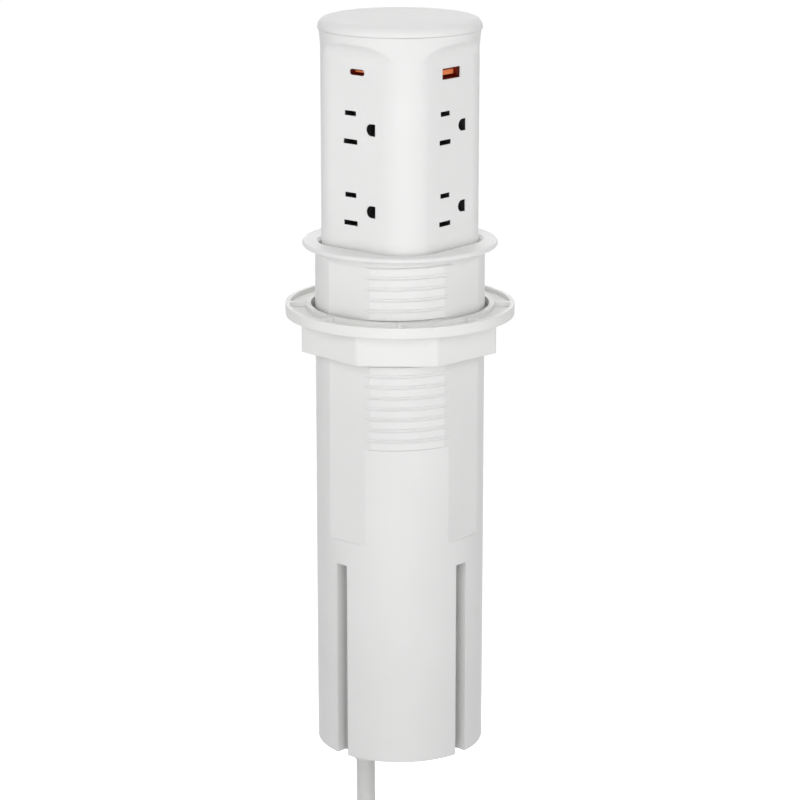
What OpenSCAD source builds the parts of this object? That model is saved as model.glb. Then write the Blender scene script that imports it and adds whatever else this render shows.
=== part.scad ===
// Pop-up desk socket: a spring-lifted outlet tower that rises from a threaded tube clamped in a desk hole.
// The origin is the centre of the collar lip's underside, which rests on the desk top. +Z is up.

/* [Tower] */
// Width of the outlet tower across its flat faces
tower_w = 59; // [58:0.1:60]
// Radius of the tower's upright corners
tower_corner_r = 14.5; // [13.9:0.1:15.1]
// Height of the tower shell above the desk
tower_h = 98.3; // [97:0.1:104]
// Wall of the tower shell
shell_wall = 2.2; // [1.8:0.1:2.6]
// Height of the round rim under the cap
rim_h = 3.7; // [3:0.1:5]
// Overhang of the flared rim past the tower's corners
rim_step = 0.7; // [0.4:0.1:1]
// Height of the finger scoops between the faces and the rim
scoop_h = 8; // [6.5:0.1:9]
// Overhang of the cap past the round rim
cap_step = 0.55; // [0.3:0.05:1]
// Thickness of the cap
cap_t = 4.9; // [4.6:0.1:7]
// Rounding of the cap's top edge
cap_round = 4.2; // [2:0.1:4.4]
// Thin dark joint between cap and rim
cap_joint = 0.25; // [0.2:0.05:0.4]

/* [Outlets] */
// Depth of the upper outlets' centres below the shell's top
outlet_drop = 41.5; // [40.3:0.1:43.3]
// Distance from the upper outlets down to the lower ones
outlet_pitch = 36.7; // [34.8:0.1:38.6]
// Distance between the two blade slots of an outlet
blade_pitch = 12.7; // [12.5:0.1:13]
// Distance from the blades' line to the ground hole
ground_offset = 11.9; // [11.5:0.1:12.2]
// Blade slots' centre, to the left of the face's middle
blade_left = 4; // [3:0.1:5]
// Length of the line slot
line_slot_w = 6.6; // [6.3:0.1:7]
// Length of the neutral slot
neutral_slot_w = 8; // [7.6:0.1:8.4]
// Height of both blade slots
blade_slot_h = 2.2; // [2:0.1:2.4]
// Radius of the ground hole's round side
ground_r = 2.7; // [2.65:0.05:2.85]
// Distance from the ground hole's centre to its flat side
ground_flat = 2.5; // [2.45:0.05:2.65]

/* [USB ports] */
// Depth of the USB-A ports' centres below the shell's top
usb_a_drop = 17.5; // [16.9:0.1:17.9]
// Depth of the USB-C ports' centres below the shell's top
usb_c_drop = 16.7; // [16.1:0.1:17.1]
// Width of a USB-A mouth
usb_a_w = 12.4; // [12.2:0.1:12.8]
// Height of a USB-A mouth
usb_a_h = 4.9; // [4.7:0.1:5.2]
// Width of a USB-C mouth
usb_c_w = 8.5; // [8.4:0.1:9]
// Height of a USB-C mouth
usb_c_h = 2.7; // [2.6:0.1:3.2]

/* [Collar] */
// Width of the lip that overlaps the desk around the hole
lip_overhang = 5.75; // [4:0.05:9]
// Thickness of the lip
lip_t = 2.3; // [1.8:0.1:4]
// Clearance between the tower's faces and the collar's opening
throat_gap = 1.5; // [1.2:0.1:2]
// Clearance between the tower's corners and the collar's opening
throat_corner_gap = 1.2; // [0.6:0.1:1.4]
// Chamfer around the opening's upper edge
throat_chamfer = 1.3; // [0.8:0.1:1.6]
// Depth of the stop lugs that hang inside the tube
lug_depth = 8; // [6:0.5:12]

/* [Housing tube] */
// Clearance between the tower's corners and the tube's bore
bore_gap = 0.5; // [0.4:0.1:0.8]
// Wall of the tube
tube_wall = 2.55; // [2.2:0.05:3.2]
// Length of the tube below the desk
tube_len = 237.3; // [232:0.1:270]
// Length of the upper stretch that has four flats
flats_len = 132.7; // [110:0.1:136]
// Depth of the flats
flat_depth = 1.4; // [1:0.1:1.6]
// Plain neck between the lip and the flats
neck_h = 3; // [2:0.1:6]
// Depth below the desk where the guide slots start
slot_top = 144.3; // [140:0.1:170]
// Width of the guide slots
slot_w = 6.4; // [5:0.1:8]
// Depth of the guide slots
slot_depth = 5.5; // [4:0.1:6.5]
// Wall around the guide slots
slot_wall = 2.2; // [1.6:0.1:2.6]
// Turn of the guide slots away from the flats
slot_turn = -3.7; // [-6:0.1:6]

/* [Thread] */
// Depth below the desk where the thread starts
thread_top = 4.2; // [3:0.1:8]
// Rise of the thread in one turn
thread_pitch = 5; // [4.5:0.1:6]
// Height of the thread above the tube
thread_h = 1; // [0.8:0.1:1.3]
// Length of the threaded stretch
thread_len = 85; // [60:1:95]
// Angle of the two threaded patches, cut off by the flats
thread_arc = 61; // [40:1:61]

/* [Clamp] */
// Height of the washer's upper face below the desk: a desk of this thickness is clamped
desk_t = 27; // [20:0.5:40]
// Radius of the ribbed washer
washer_r = 52.4; // [50.5:0.1:58]
// Thickness of the ribbed washer
washer_t = 4.8; // [4:0.1:8]
// Width of the nut across its eight flats
nut_w = 88; // [86.5:0.1:91]
// Height of the nut
nut_h = 14.4; // [13:0.1:20]
// Turn of the nut as it stands
nut_turn = 15.7; // [-22:0.1:22]
// Turn of the washer's ribs as it stands
washer_turn = -5.1; // [-22:0.1:22]

/* [Lift] */
// Travel of the tower from raised to closed
travel = 86; // [80:0.5:86.5]
// Length of the carriage that guides the tower in the tube
carriage_len = 31.7; // [28:0.1:40]
// Mean radius of the lift spring
spring_r = 12.6; // [12.4:0.1:13]
// Wire of the lift spring
spring_wire = 1.8; // [1.4:0.1:2]
// Turns of the lift spring
spring_turns = 20; // [14:1:24]
// Radius of the latch body
latch_r = 9.6; // [9:0.1:9.8]
// Stroke of the push latch
latch_stroke = 4; // [3:0.5:5]

/* [Cord] */
// Diameter of the power cord
cord_d = 9; // [7:0.1:9.3]
// Diameter of the lead that coils inside the tube
lead_d = 7.5; // [6:0.1:8]
// Turns of the lead inside the tube
lead_turns = 4.5; // [3.5:1:4.5]
// Clear space between the turns of the put-away coil
coil_gap = 0.8; // [0.7:0.1:1.2]
// Turns of the put-away coil, half of them in each layer
coil_turns = 5; // [3:2:7]

/* [Hidden] */
$fn = 96;

// Clearances shared by all the fits
fit_gap = 0.15;
face_gap = 0.05;
slide_gap = 0.45;
thread_gap = 0.3;
stop_gap = 0.3;
over = 1;
thin = 0.01;

// Tower, from the desk up
root2 = sqrt(2);
tower_half = tower_w / 2;
tower_reach = (tower_half - tower_corner_r) * root2 + tower_corner_r;
cavity_half = tower_half - shell_wall;
cavity_corner_r = tower_corner_r - shell_wall;
flat_half = tower_half - tower_corner_r;
shell_bottom_z = -(lug_depth + stop_gap);
rim_r = tower_reach + rim_step;
rim_z = tower_h - rim_h;
scoop_z = rim_z - scoop_h;
scoop_root = 0.1;
scoop_crease = 12;
scoop_bury = shell_wall / 2;
scoop_reach = rim_r - tower_half;
scoop_chord = [scoop_reach + scoop_root, scoop_h];
scoop_lean = atan2(scoop_chord[0], scoop_chord[1]);
scoop_r = norm(scoop_chord) / (2 * sin(scoop_lean - scoop_crease));
flare_root = 0.6;
flare_slope = (rim_step + flare_root) / (tower_h - scoop_z);
rim_lap = 0.75;
cap_r = rim_r + cap_step;
cap_spigot_h = 6;
cap_spigot_wall = 2;
cap_joint_depth = 0.5;
cap_steps = 16;
spigot_inset = fit_gap + cap_spigot_wall;
arc_steps = 8;

// Screws, shared by the bottom cap and the carriage
screw_r = 1.3;
screw_hole_r = 1.6;
screw_pilot_gap = 0.1;
screw_head_r = 2.4;
screw_head_h = 2.2;
screw_len = 14;
boss_r = 3.4;
boss_h = 20;
boss_bury = 0.5;
boss_lift = 0.3;
tower_boss_at = (flat_half * root2 + cavity_corner_r) - boss_r + boss_bury;

// Outlet carriers behind each face
outlet_upper_z = tower_h - outlet_drop;
outlet_lower_z = outlet_upper_z - outlet_pitch;
carrier_plate_t = 3;
carrier_front = cavity_half - face_gap;
carrier_back = carrier_front - carrier_plate_t;
carrier_half = flat_half - fit_gap;
carrier_bottom_z = 0.5;
seat_bar_t = 2;
seat_bar_w = 24;
pocket_depth = 10;
pocket_back = carrier_back - pocket_depth;
pocket_side = 2.2;
clip_wall = 0.9;
clip_setback = 0.5;
clip_len = 8;
clip_w = neutral_slot_w + 2 * clip_wall;
clip_h = blade_slot_h + 2 * clip_wall;
ground_clip_r = ground_r + clip_wall;
ground_clip_len = 4;
bus_t = 0.8;
bus_w = 2.4;
pocket_left = -blade_left - clip_w / 2 - pocket_side;
pocket_right = -blade_left + ground_offset + ground_clip_r + pocket_side;
pocket_half_h = blade_pitch / 2 + clip_h / 2 + pocket_side;
outlet_heights = [outlet_upper_z, outlet_lower_z];

// Charger board and ports
usb_a_z = tower_h - usb_a_drop;
usb_c_z = tower_h - usb_c_drop;
port_sheet = 0.3;
board_t = 1.6;
board_top_z = usb_a_z - usb_a_h / 2 - port_sheet;
board_z = board_top_z - board_t;
board_edge_gap = 1.4;
port_front = cavity_half - face_gap;
usb_a_len = 13;
usb_c_len = 8;
usb_c_r = usb_c_h / 2 - 0.1;
tongue_side = 0.8;
usb_a_tongue = [usb_a_w - 2 * tongue_side, 11.7, 2.2];
usb_c_tongue = [usb_c_w - 2 * tongue_side, 6.9, 0.8];
riser_h = usb_c_z - usb_c_h / 2 - port_sheet - board_top_z;
transformer = [13, 11, 10];
capacitor_r = 3.5;
capacitor_h = 9;
capacitor_at = [8.5, 9.5];

// Collar and tube, from the tower outwards
bore_r = tower_reach + bore_gap;
tube_r = bore_r + tube_wall;
lip_r = tube_r + lip_overhang;
lip_round = lip_t / 2;
seat_relief = 0.2;
throat_half = tower_half + throat_gap;
throat_reach = tower_reach + throat_corner_gap;
lug_r = bore_r - fit_gap;
lug_side = flat_half;
flat_at = tube_r - flat_depth;
slot_floor_r = tube_r - slot_depth;
rib_r = slot_floor_r - slot_wall;
rib_w = slot_w + 2 * slot_wall;

// Thread: ridges between the tube's flats and in the nut
thread_r = tube_r + thread_h;
seat_inner_r = thread_r + slide_gap;
thread_lead = atan(thread_pitch / (2 * PI * tube_r));
thread_groove = 0.3;
thread_flank = 0.65;
ridge_root_w = thread_pitch - thread_groove;
ridge_tip_w = ridge_root_w - 2 * thread_flank;
ridge_bury = 0.4;
ridge_count = floor(thread_len / thread_pitch);
nut_ridge_root_w = 1.2;
nut_ridge_tip_w = 0.4;
nut_ridge_arc = 40;

// Washer and nut
washer_gap = 0.95;
washer_hole_r = thread_r + washer_gap;
washer_top_z = -desk_t;
washer_floor_t = 2.8;
washer_inner_wall = 2.4;
washer_outer_wall = 2;
washer_ribs = 8;
washer_rib_w = 2.4;
nut_gap = 0.2;
nut_top_z = washer_top_z - washer_t - nut_gap;
nut_bottom_z = nut_top_z - nut_h;
nut_bore_r = thread_r + thread_gap;
nut_sides = 8;
nut_corner_proud = 3.4;
nut_corner_r = nut_w / 2 + nut_corner_proud;
nut_end_room = 1.6;

// Carriage under the tower
carriage_r = bore_r - slide_gap;
carriage_disc_t = 3;
carriage_skirt_wall = 2.4;
carriage_disc_z = shell_bottom_z - carriage_disc_t;
carriage_bottom_z = shell_bottom_z - carriage_len;
felt_h = 4;
felt_depth = 1.3;
felt_gap = 0.2;
felt_r = bore_r - felt_gap;
felt_upper_inset = 9;
felt_lower_inset = 4;
felt_upper_z = shell_bottom_z - felt_upper_inset;
felt_lower_z = carriage_bottom_z + felt_lower_inset;
seat_bar_bury = 0.5;

// Bottom of the tube
bottom_z = -tube_len;
bottom_cap_t = 3;
bottom_recess = 3.3;
bottom_cap_z = bottom_z + bottom_recess;
bottom_cap_top_z = bottom_cap_z + bottom_cap_t;
tube_boss_at = bore_r - boss_r + boss_bury;

// Latch in the middle of the tube
striker_r = 3;
striker_len = 46.7;
striker_flange_r = 8;
striker_flange_t = 3;
striker_tip_z = carriage_disc_z - striker_len;
striker_chamfer = 1;
striker_entry = 5;
striker_gap = 0.5;
latch_top_z = striker_tip_z - travel + striker_entry;
catch_r = 5.9;
catch_gap = 0.3;
catch_setback = 1;
catch_top_z = latch_top_z - catch_setback;
catch_floor_z = striker_tip_z - travel - striker_gap;
catch_floor_t = 2.5;
catch_bottom_z = catch_floor_z - catch_floor_t;
latch_spring_wire = 0.8;
latch_spring_pressed = 4;
latch_spring_len = latch_stroke + latch_spring_pressed;
latch_spring_turns = 3;
latch_spring_r = 4.2;
latch_floor_z = catch_bottom_z - latch_spring_len;
latch_floor_t = 2;
latch_bottom_z = latch_floor_z - latch_floor_t;
post_r = 7;
post_foot_h = 6;
spring_ledge = 1;
post_flange_r = spring_r + spring_wire / 2 + spring_ledge;
post_flange_t = 3;
post_flange_z = bottom_cap_top_z + post_foot_h;
spring_seat_z = post_flange_z + post_flange_t;

// Cord: where it leaves the bottom cap, and the gland there
exit_at = [-19, -3];
exit_r = norm(exit_at);
exit_turn = atan2(exit_at[1], exit_at[0]);
gland_wall = 1.8;
gland_step = 1.9;
gland_tip_wall = 1;
gland_neck_r = cord_d / 2 + gland_wall;
gland_hole_r = gland_neck_r + fit_gap;
gland_flange_r = gland_neck_r + gland_step;
gland_flange_t = 3;
gland_collar_h = 4;
gland_tip_r = cord_d / 2 + gland_tip_wall;
gland_end_z = -254.5;
gland_top_z = bottom_cap_top_z + gland_flange_t;
grip_wall = 2.2;
grip_r = lead_d / 2 + grip_wall;
grip_h = 8;
grip_bottom_z = carriage_disc_z - grip_h;

// Cord: the hanging stretch, in an S that brings the coil's middle under the exit
coil_z = -390;
cord_points = [
    [-19, -3, -254.5], [-19, -3, -268], [-19, -3, -280], [-19, -5.5, -294], [-19, -12.5, -306],
    [-19, -23, -314.5], [-19, -34, -319], [-19, -45, -323.5], [-19, -55.5, -332],
    [-19, -62.5, -344], [-19, -65, -358], [-19, -65, -370], [-19, -65, -381]
];
// Cord: the stretch from the coil to the plug
plug_lead_points = [
    [-9.2, -65, -399], [-9.2, -65, -404], [-7, -65, -416.5], [0.4, -65, -429], [7.8, -65, -441.5],
    [10, -65, -454], [10, -65, -459]
];

// Coil: two layers in an upright plane, spiralling in and out again
coil_step = cord_d + coil_gap;
coil_left = 62;
coil_middle = [exit_at[0], exit_at[1], coil_z];
coil_inner_r = coil_left - coil_step * coil_turns / 2;
coil_rings = 24;
coil_turn_in = 0.25;

// Tie around the coil, opposite the end of the cord
tie_w = 14;
tie_t = 1.6;
tie_gap = 0.5;
tie_inner = coil_inner_r - cord_d / 2 - tie_gap;
tie_outer = coil_left + cord_d / 2 + tie_gap;

// Plug
plug_at = plug_lead_points[len(plug_lead_points) - 1];
plug_relief_h = 20;
plug_relief_wall = 0.8;
plug_relief_r = [cord_d / 2 + plug_relief_wall, 8];
plug_w = 27;
plug_d = 25;
plug_h = 30;
plug_corner_r = 8;
plug_face_z = plug_at[2] - plug_relief_h - plug_h;
plug_blade = [1.5, 6.4, 17];
plug_pin_r = 2.4;
plug_pin_len = 20;
plug_blade_shift = 4;

// Colours
white_shell = [0.93, 0.93, 0.92];
white_tube = [0.90, 0.90, 0.89];
white_clamp = [0.92, 0.92, 0.89];
dark_core = [0.10, 0.10, 0.11];
cord_grey = [0.80, 0.80, 0.80];
steel = [0.70, 0.71, 0.72];
brass = [0.80, 0.65, 0.35];
tongue_orange = [0.90, 0.42, 0.10];
board_green = [0.12, 0.35, 0.20];
felt_grey = [0.45, 0.45, 0.45];
black_part = [0.08, 0.08, 0.08];

// Shapes used by several pieces

// A square with round corners, given by half its width
module rounded_square(half, r) {
    square([2 * half, 2 * (half - r)], center = true);
    square([2 * (half - r), 2 * half], center = true);
    for (x = [-1, 1], y = [-1, 1]) {
        translate([x * (half - r), y * (half - r)]) circle(r);
    }
}

// A rectangle with round corners
module rounded_rectangle(w, h, r) {
    square([w, h - 2 * r], center = true);
    square([w - 2 * r, h], center = true);
    for (x = [-1, 1], y = [-1, 1]) {
        translate([x * (w / 2 - r), y * (h / 2 - r)]) circle(r);
    }
}

module ring(r, hole_r, h) {
    difference() {
        cylinder(r = r, h = h);
        translate([0, 0, -over]) cylinder(r = hole_r, h = h + 2 * over);
    }
}

// Copies for the four faces: the first looks along -Y, and the others follow anticlockwise
module quarter_turns() {
    for (k = [0:3]) {
        rotate([0, 0, 90 * k]) children();
    }
}

// An outline drawn as seen from in front of the first face, pushed from one depth to another
module through_face(front, back) {
    translate([0, -back, 0]) rotate([90, 0, 0]) linear_extrude(front - back) children();
}

// A round tube along a path: one ring of corners at each point, square to the path there
function path_ahead(path, i) =
    let (a = path[max(i - 1, 0)], b = path[min(i + 1, len(path) - 1)], d = b - a) d / norm(d);
function ring_points(path, sides_to, i, r, sides) =
    let (t = path_ahead(path, i), c = cross(t, sides_to[i]), u = c / norm(c), v = cross(u, t))
    [for (k = [0:sides - 1]) path[i] + r * (u * cos(360 * k / sides) + v * sin(360 * k / sides))];
function tube_points(path, sides_to, r, sides) =
    [for (i = [0:len(path) - 1]) each ring_points(path, sides_to, i, r, sides)];
// Triangles that join rings of corners, one after the other, and close both ends
function loft_faces(rings, sides) = concat(
    [for (k = [1:sides - 2]) [0, k, k + 1]],
    [for (i = [0:rings - 2], k = [0:sides - 1])
        let (a = i * sides + k, b = i * sides + (k + 1) % sides)
        each [[a, a + sides, b], [b, a + sides, b + sides]]],
    [for (k = [1:sides - 2]) let (s = (rings - 1) * sides) [s, s + k + 1, s + k]]
);

module tube(path, sides_to, d, sides) {
    polyhedron(tube_points(path, sides_to, d / 2, sides), loft_faces(len(path), sides));
}

// The least clear distance between stretches of a tube that lie more than half a turn apart
function least_gap(path, d, rings) = min([
    for (i = [0:len(path) - 1], j = [i + floor(rings / 2):len(path) - 1])
        if (j < len(path)) norm(path[i] - path[j])
]) - d;

// One threaded patch's ridge, tilted to the thread's rise and centred on +X
module thread_ridge(root_r, tip_r, root_w, tip_w, arc) {
    rotate([thread_lead, 0, 0]) rotate([0, 0, -arc / 2]) rotate_extrude(angle = arc)
        polygon([
            [root_r, -root_w / 2], [tip_r, -tip_w / 2], [tip_r, tip_w / 2], [root_r, root_w / 2]
        ]);
}

// Height of the thread's ridges at an angle about the tube
function thread_z(turn, n) = -thread_top - thread_pitch * (n + 1) + thread_pitch * turn / 360;

// Outlet shapes as seen from in front of the face: x to the right, y up
module blade_slots() {
    for (z = outlet_heights) {
        translate([-blade_left, z + blade_pitch / 2])
            square([line_slot_w, blade_slot_h], center = true);
        translate([-blade_left, z - blade_pitch / 2])
            square([neutral_slot_w, blade_slot_h], center = true);
    }
}

module ground_outline() {
    intersection() {
        circle(ground_r);
        translate([-ground_r, -ground_r]) square([ground_r, 2 * ground_r]);
    }
    translate([0, -ground_r]) square([ground_flat, 2 * ground_r]);
}

module ground_holes() {
    for (z = outlet_heights) {
        translate([ground_offset - blade_left, z]) ground_outline();
    }
}

// Tower

// The scoop's section: it hollows out from the face to the rim's lower edge
module scoop_section() {
    difference() {
        translate([-scoop_bury, 0]) square([scoop_bury + scoop_reach + over, scoop_h + over]);
        translate([scoop_r * cos(scoop_crease) - scoop_root, -scoop_r * sin(scoop_crease)]) circle(scoop_r);
    }
}

// The section swept around the tower, along each face and about each corner
module scoops() {
    quarter_turns() {
        translate([flat_half, -tower_half, scoop_z]) rotate([90, 0, -90])
            linear_extrude(2 * flat_half) scoop_section();
        translate([flat_half, flat_half, scoop_z]) rotate_extrude(angle = 90)
            translate([tower_corner_r, 0]) scoop_section();
    }
}

module tower_shell() {
    color(white_shell) difference() {
        union() {
            difference() {
                union() {
                    translate([0, 0, shell_bottom_z]) linear_extrude(rim_z + rim_lap - shell_bottom_z)
                        rounded_square(tower_half, tower_corner_r);
                    intersection() {
                        translate([0, 0, scoop_z - over]) cylinder(
                            r1 = tower_reach - flare_root - flare_slope * over, r2 = rim_r,
                            h = tower_h - scoop_z + over);
                        union() {
                            scoops();
                            translate([0, 0, rim_z + over / 2]) cylinder(r = rim_r + over, h = rim_h + over);
                        }
                    }
                }
                translate([0, 0, shell_bottom_z - over])
                    linear_extrude(tower_h - shell_bottom_z + 2 * over)
                        rounded_square(cavity_half, cavity_corner_r);
            }
            quarter_turns() rotate([0, 0, 45]) translate([tower_boss_at, 0, shell_bottom_z + boss_lift])
                cylinder(r = boss_r, h = boss_h);
        }
        quarter_turns() rotate([0, 0, 45]) translate([tower_boss_at, 0, shell_bottom_z - over])
            cylinder(r = screw_r + screw_pilot_gap, h = screw_len + over);
        quarter_turns() through_face(tower_half + over, cavity_half - over) {
            blade_slots();
            ground_holes();
        }
        for (k = [0, 180]) rotate([0, 0, k]) {
            through_face(tower_half + over, cavity_half - over) translate([0, usb_c_z])
                rounded_rectangle(usb_c_w, usb_c_h, usb_c_r);
            rotate([0, 0, 90]) through_face(tower_half + over, cavity_half - over) translate([0, usb_a_z])
                square([usb_a_w, usb_a_h], center = true);
        }
    }
}

module top_cap() {
    edge = [for (k = [0:cap_steps]) let (a = 90 * k / cap_steps)
        [cap_r - cap_round + cap_round * cos(a), tower_h + cap_t - cap_round + cap_round * sin(a)]];
    joint_r = rim_r - cap_joint_depth;
    color(white_shell) {
        rotate_extrude() polygon(concat(
            [[0, tower_h], [joint_r, tower_h], [joint_r, tower_h + cap_joint], [cap_r, tower_h + cap_joint]],
            edge, [[0, tower_h + cap_t]]
        ));
        translate([0, 0, tower_h - cap_spigot_h]) linear_extrude(cap_spigot_h + over) difference() {
            rounded_square(cavity_half - fit_gap, cavity_corner_r - fit_gap);
            rounded_square(cavity_half - spigot_inset, cavity_corner_r - spigot_inset);
        }
    }
}

// One outlet carrier: a plate behind the face with a contact pocket behind each outlet
module carrier_solid() {
    difference() {
        union() {
            through_face(carrier_front, carrier_back)
                translate([-carrier_half, carrier_bottom_z])
                    square([2 * carrier_half, board_z - carrier_bottom_z]);
            for (z = outlet_heights) {
                through_face(carrier_front - clip_setback, pocket_back)
                    translate([pocket_left, z - pocket_half_h])
                        square([pocket_right - pocket_left, 2 * pocket_half_h]);
            }
        }
        through_face(carrier_front + over, carrier_back - over) blade_slots();
        through_face(carrier_front + over, pocket_back - over) ground_holes();
        for (z = outlet_heights) {
            for (s = [-1, 1]) {
                through_face(carrier_back - clip_setback, pocket_back - over)
                    translate([-blade_left, z + s * blade_pitch / 2])
                        square([clip_w + 2 * fit_gap, clip_h + 2 * fit_gap], center = true);
            }
            through_face(pocket_back + ground_clip_len + fit_gap, pocket_back - over)
                translate([ground_offset - blade_left, z]) circle(ground_clip_r + fit_gap);
        }
    }
}

module outlet_carrier(k) {
    color(dark_core) rotate([0, 0, 90 * (k - 1)]) carrier_solid();
}

module blade_clips(sign, bus_x) {
    quarter_turns() {
        for (z = outlet_heights) {
            translate([0, 0, z + sign * blade_pitch / 2]) through_face(pocket_back + clip_len, pocket_back)
                difference() {
                    translate([-blade_left, 0]) square([clip_w, clip_h], center = true);
                    translate([-blade_left, 0]) square([neutral_slot_w, blade_slot_h], center = true);
                }
        }
        through_face(pocket_back, pocket_back - bus_t)
            translate([bus_x - bus_w / 2, outlet_lower_z + sign * blade_pitch / 2 - clip_h / 2])
                square([bus_w, outlet_upper_z - outlet_lower_z + clip_h]);
    }
}

module line_contacts() {
    color(brass) blade_clips(1, -blade_left - clip_w / 2 + bus_w / 2);
}

module neutral_contacts() {
    color(brass) blade_clips(-1, -blade_left + clip_w / 2 - bus_w / 2);
}

module ground_contacts() {
    color(brass) quarter_turns() {
        for (z = outlet_heights) {
            through_face(pocket_back + ground_clip_len, pocket_back)
                translate([ground_offset - blade_left, z]) difference() {
                    circle(ground_clip_r);
                    circle(ground_r);
                }
        }
        through_face(pocket_back, pocket_back - bus_t)
            translate([ground_offset - blade_left - bus_w / 2, outlet_lower_z - ground_clip_r])
                square([bus_w, outlet_upper_z - outlet_lower_z + 2 * ground_clip_r]);
    }
}

module charger_board() {
    board_half = cavity_half - board_edge_gap;
    color(board_green) translate([0, 0, board_z]) linear_extrude(board_t)
        rounded_square(board_half, cavity_corner_r);
}

module charger_parts() {
    color(black_part) {
        translate([-transformer[0] / 2, -transformer[1] / 2, board_top_z]) cube(transformer);
        for (s = [-1, 1]) {
            translate([s * capacitor_at[0], s * capacitor_at[1], board_top_z])
                cylinder(r = capacitor_r, h = capacitor_h);
        }
        for (k = [0, 180]) rotate([0, 0, k]) {
            through_face(port_front, port_front - usb_c_len) translate([-usb_c_w / 2, board_top_z])
                square([usb_c_w, riser_h]);
        }
    }
}

module usb_a_shell(k) {
    color(steel) rotate([0, 0, 180 * k - 90]) translate([0, 0, usb_a_z]) difference() {
        through_face(port_front, port_front - usb_a_len)
            square([usb_a_w + 2 * port_sheet, usb_a_h + 2 * port_sheet], center = true);
        through_face(port_front + over, port_front - usb_a_len + port_sheet)
            square([usb_a_w, usb_a_h], center = true);
    }
}

module usb_a_tongue(k) {
    back = port_front - usb_a_len + port_sheet;
    color(tongue_orange) rotate([0, 0, 180 * k - 90]) translate([0, 0, usb_a_z])
        through_face(back + usb_a_tongue[1], back) square([usb_a_tongue[0], usb_a_tongue[2]], center = true);
}

module usb_c_shell(k) {
    color(steel) rotate([0, 0, 180 * (k - 1)]) translate([0, 0, usb_c_z]) difference() {
        through_face(port_front, port_front - usb_c_len)
            rounded_rectangle(usb_c_w + 2 * port_sheet, usb_c_h + 2 * port_sheet, usb_c_r + port_sheet);
        through_face(port_front + over, port_front - usb_c_len + port_sheet)
            rounded_rectangle(usb_c_w, usb_c_h, usb_c_r);
    }
}

module usb_c_tongue(k) {
    back = port_front - usb_c_len + port_sheet;
    color(tongue_orange) rotate([0, 0, 180 * (k - 1)]) translate([0, 0, usb_c_z])
        through_face(back + usb_c_tongue[1], back) square([usb_c_tongue[0], usb_c_tongue[2]], center = true);
}

// Carriage and what rides on it

module carriage() {
    color(white_tube) {
        difference() {
            translate([0, 0, carriage_bottom_z]) cylinder(r = carriage_r, h = carriage_len);
            translate([0, 0, carriage_bottom_z - over])
                cylinder(r = carriage_r - carriage_skirt_wall, h = carriage_len - carriage_disc_t + over);
            for (z = [felt_upper_z, felt_lower_z]) {
                translate([0, 0, z]) ring(carriage_r + over, carriage_r - felt_depth, felt_h);
            }
            quarter_turns() rotate([0, 0, 45]) translate([tower_boss_at, 0, carriage_disc_z - over])
                cylinder(r = screw_hole_r, h = carriage_disc_t + 2 * over);
            rotate([0, 0, exit_turn + 360 * lead_turns]) translate([exit_r, 0, carriage_disc_z - over])
                cylinder(r = lead_d / 2, h = carriage_disc_t + 2 * over);
        }
        quarter_turns() through_face(carrier_front, carrier_front - seat_bar_t)
            translate([-seat_bar_w / 2, shell_bottom_z - seat_bar_bury])
                square([seat_bar_w, carrier_bottom_z - shell_bottom_z + seat_bar_bury]);
    }
}

module carriage_screws() {
    color(steel) quarter_turns() rotate([0, 0, 45]) translate([tower_boss_at, 0, carriage_disc_z]) {
        translate([0, 0, -screw_head_h]) cylinder(r = screw_head_r, h = screw_head_h);
        cylinder(r = screw_r, h = screw_len);
    }
}

module felt_ring(z) {
    color(felt_grey) translate([0, 0, z + fit_gap / 2])
        ring(felt_r, carriage_r - felt_depth + fit_gap / 2, felt_h - fit_gap);
}

module felt_ring_upper() {
    felt_ring(felt_upper_z);
}

module felt_ring_lower() {
    felt_ring(felt_lower_z);
}

module latch_striker() {
    color(steel) {
        translate([0, 0, carriage_disc_z - striker_flange_t])
            cylinder(r = striker_flange_r, h = striker_flange_t);
        translate([0, 0, striker_tip_z + striker_chamfer])
            cylinder(r = striker_r, h = striker_len - striker_chamfer);
        translate([0, 0, striker_tip_z])
            cylinder(r1 = striker_r - striker_chamfer, r2 = striker_r, h = striker_chamfer);
    }
}

module lead_grip() {
    color(dark_core) rotate([0, 0, exit_turn + 360 * lead_turns]) translate([exit_r, 0, grip_bottom_z])
        cylinder(r = grip_r, h = grip_h);
}

// Housing

module collar_ring() {
    edge = [for (k = [0:2 * arc_steps]) let (a = 90 * k / arc_steps - 90)
        [lip_r - lip_round + lip_round * cos(a), lip_round + lip_round * sin(a)]];
    color(white_tube) difference() {
        union() {
            rotate_extrude() polygon(concat(
                [[bore_r / 2, seat_relief], [seat_inner_r, seat_relief], [seat_inner_r, 0]],
                edge, [[bore_r / 2, lip_t]]
            ));
            translate([0, 0, -lug_depth]) intersection() {
                cylinder(r = lug_r, h = lug_depth + lip_t / 2);
                for (k = [0, 90]) rotate([0, 0, k]) translate([-lug_side, -lug_r, 0])
                    cube([2 * lug_side, 2 * lug_r, lug_depth + lip_t / 2]);
            }
        }
        translate([0, 0, -lug_depth - over]) linear_extrude(lug_depth + lip_t + 2 * over) throat_outline(0);
        translate([0, 0, lip_t - throat_chamfer]) hull() {
            linear_extrude(thin, $fn = 48) throat_outline(0);
            translate([0, 0, throat_chamfer]) linear_extrude(thin, $fn = 48) throat_outline(throat_chamfer);
        }
    }
}

module throat_outline(grow) {
    r = (throat_half * root2 - throat_reach) / (root2 - 1);
    rounded_square(throat_half + grow, r + grow);
}

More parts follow.
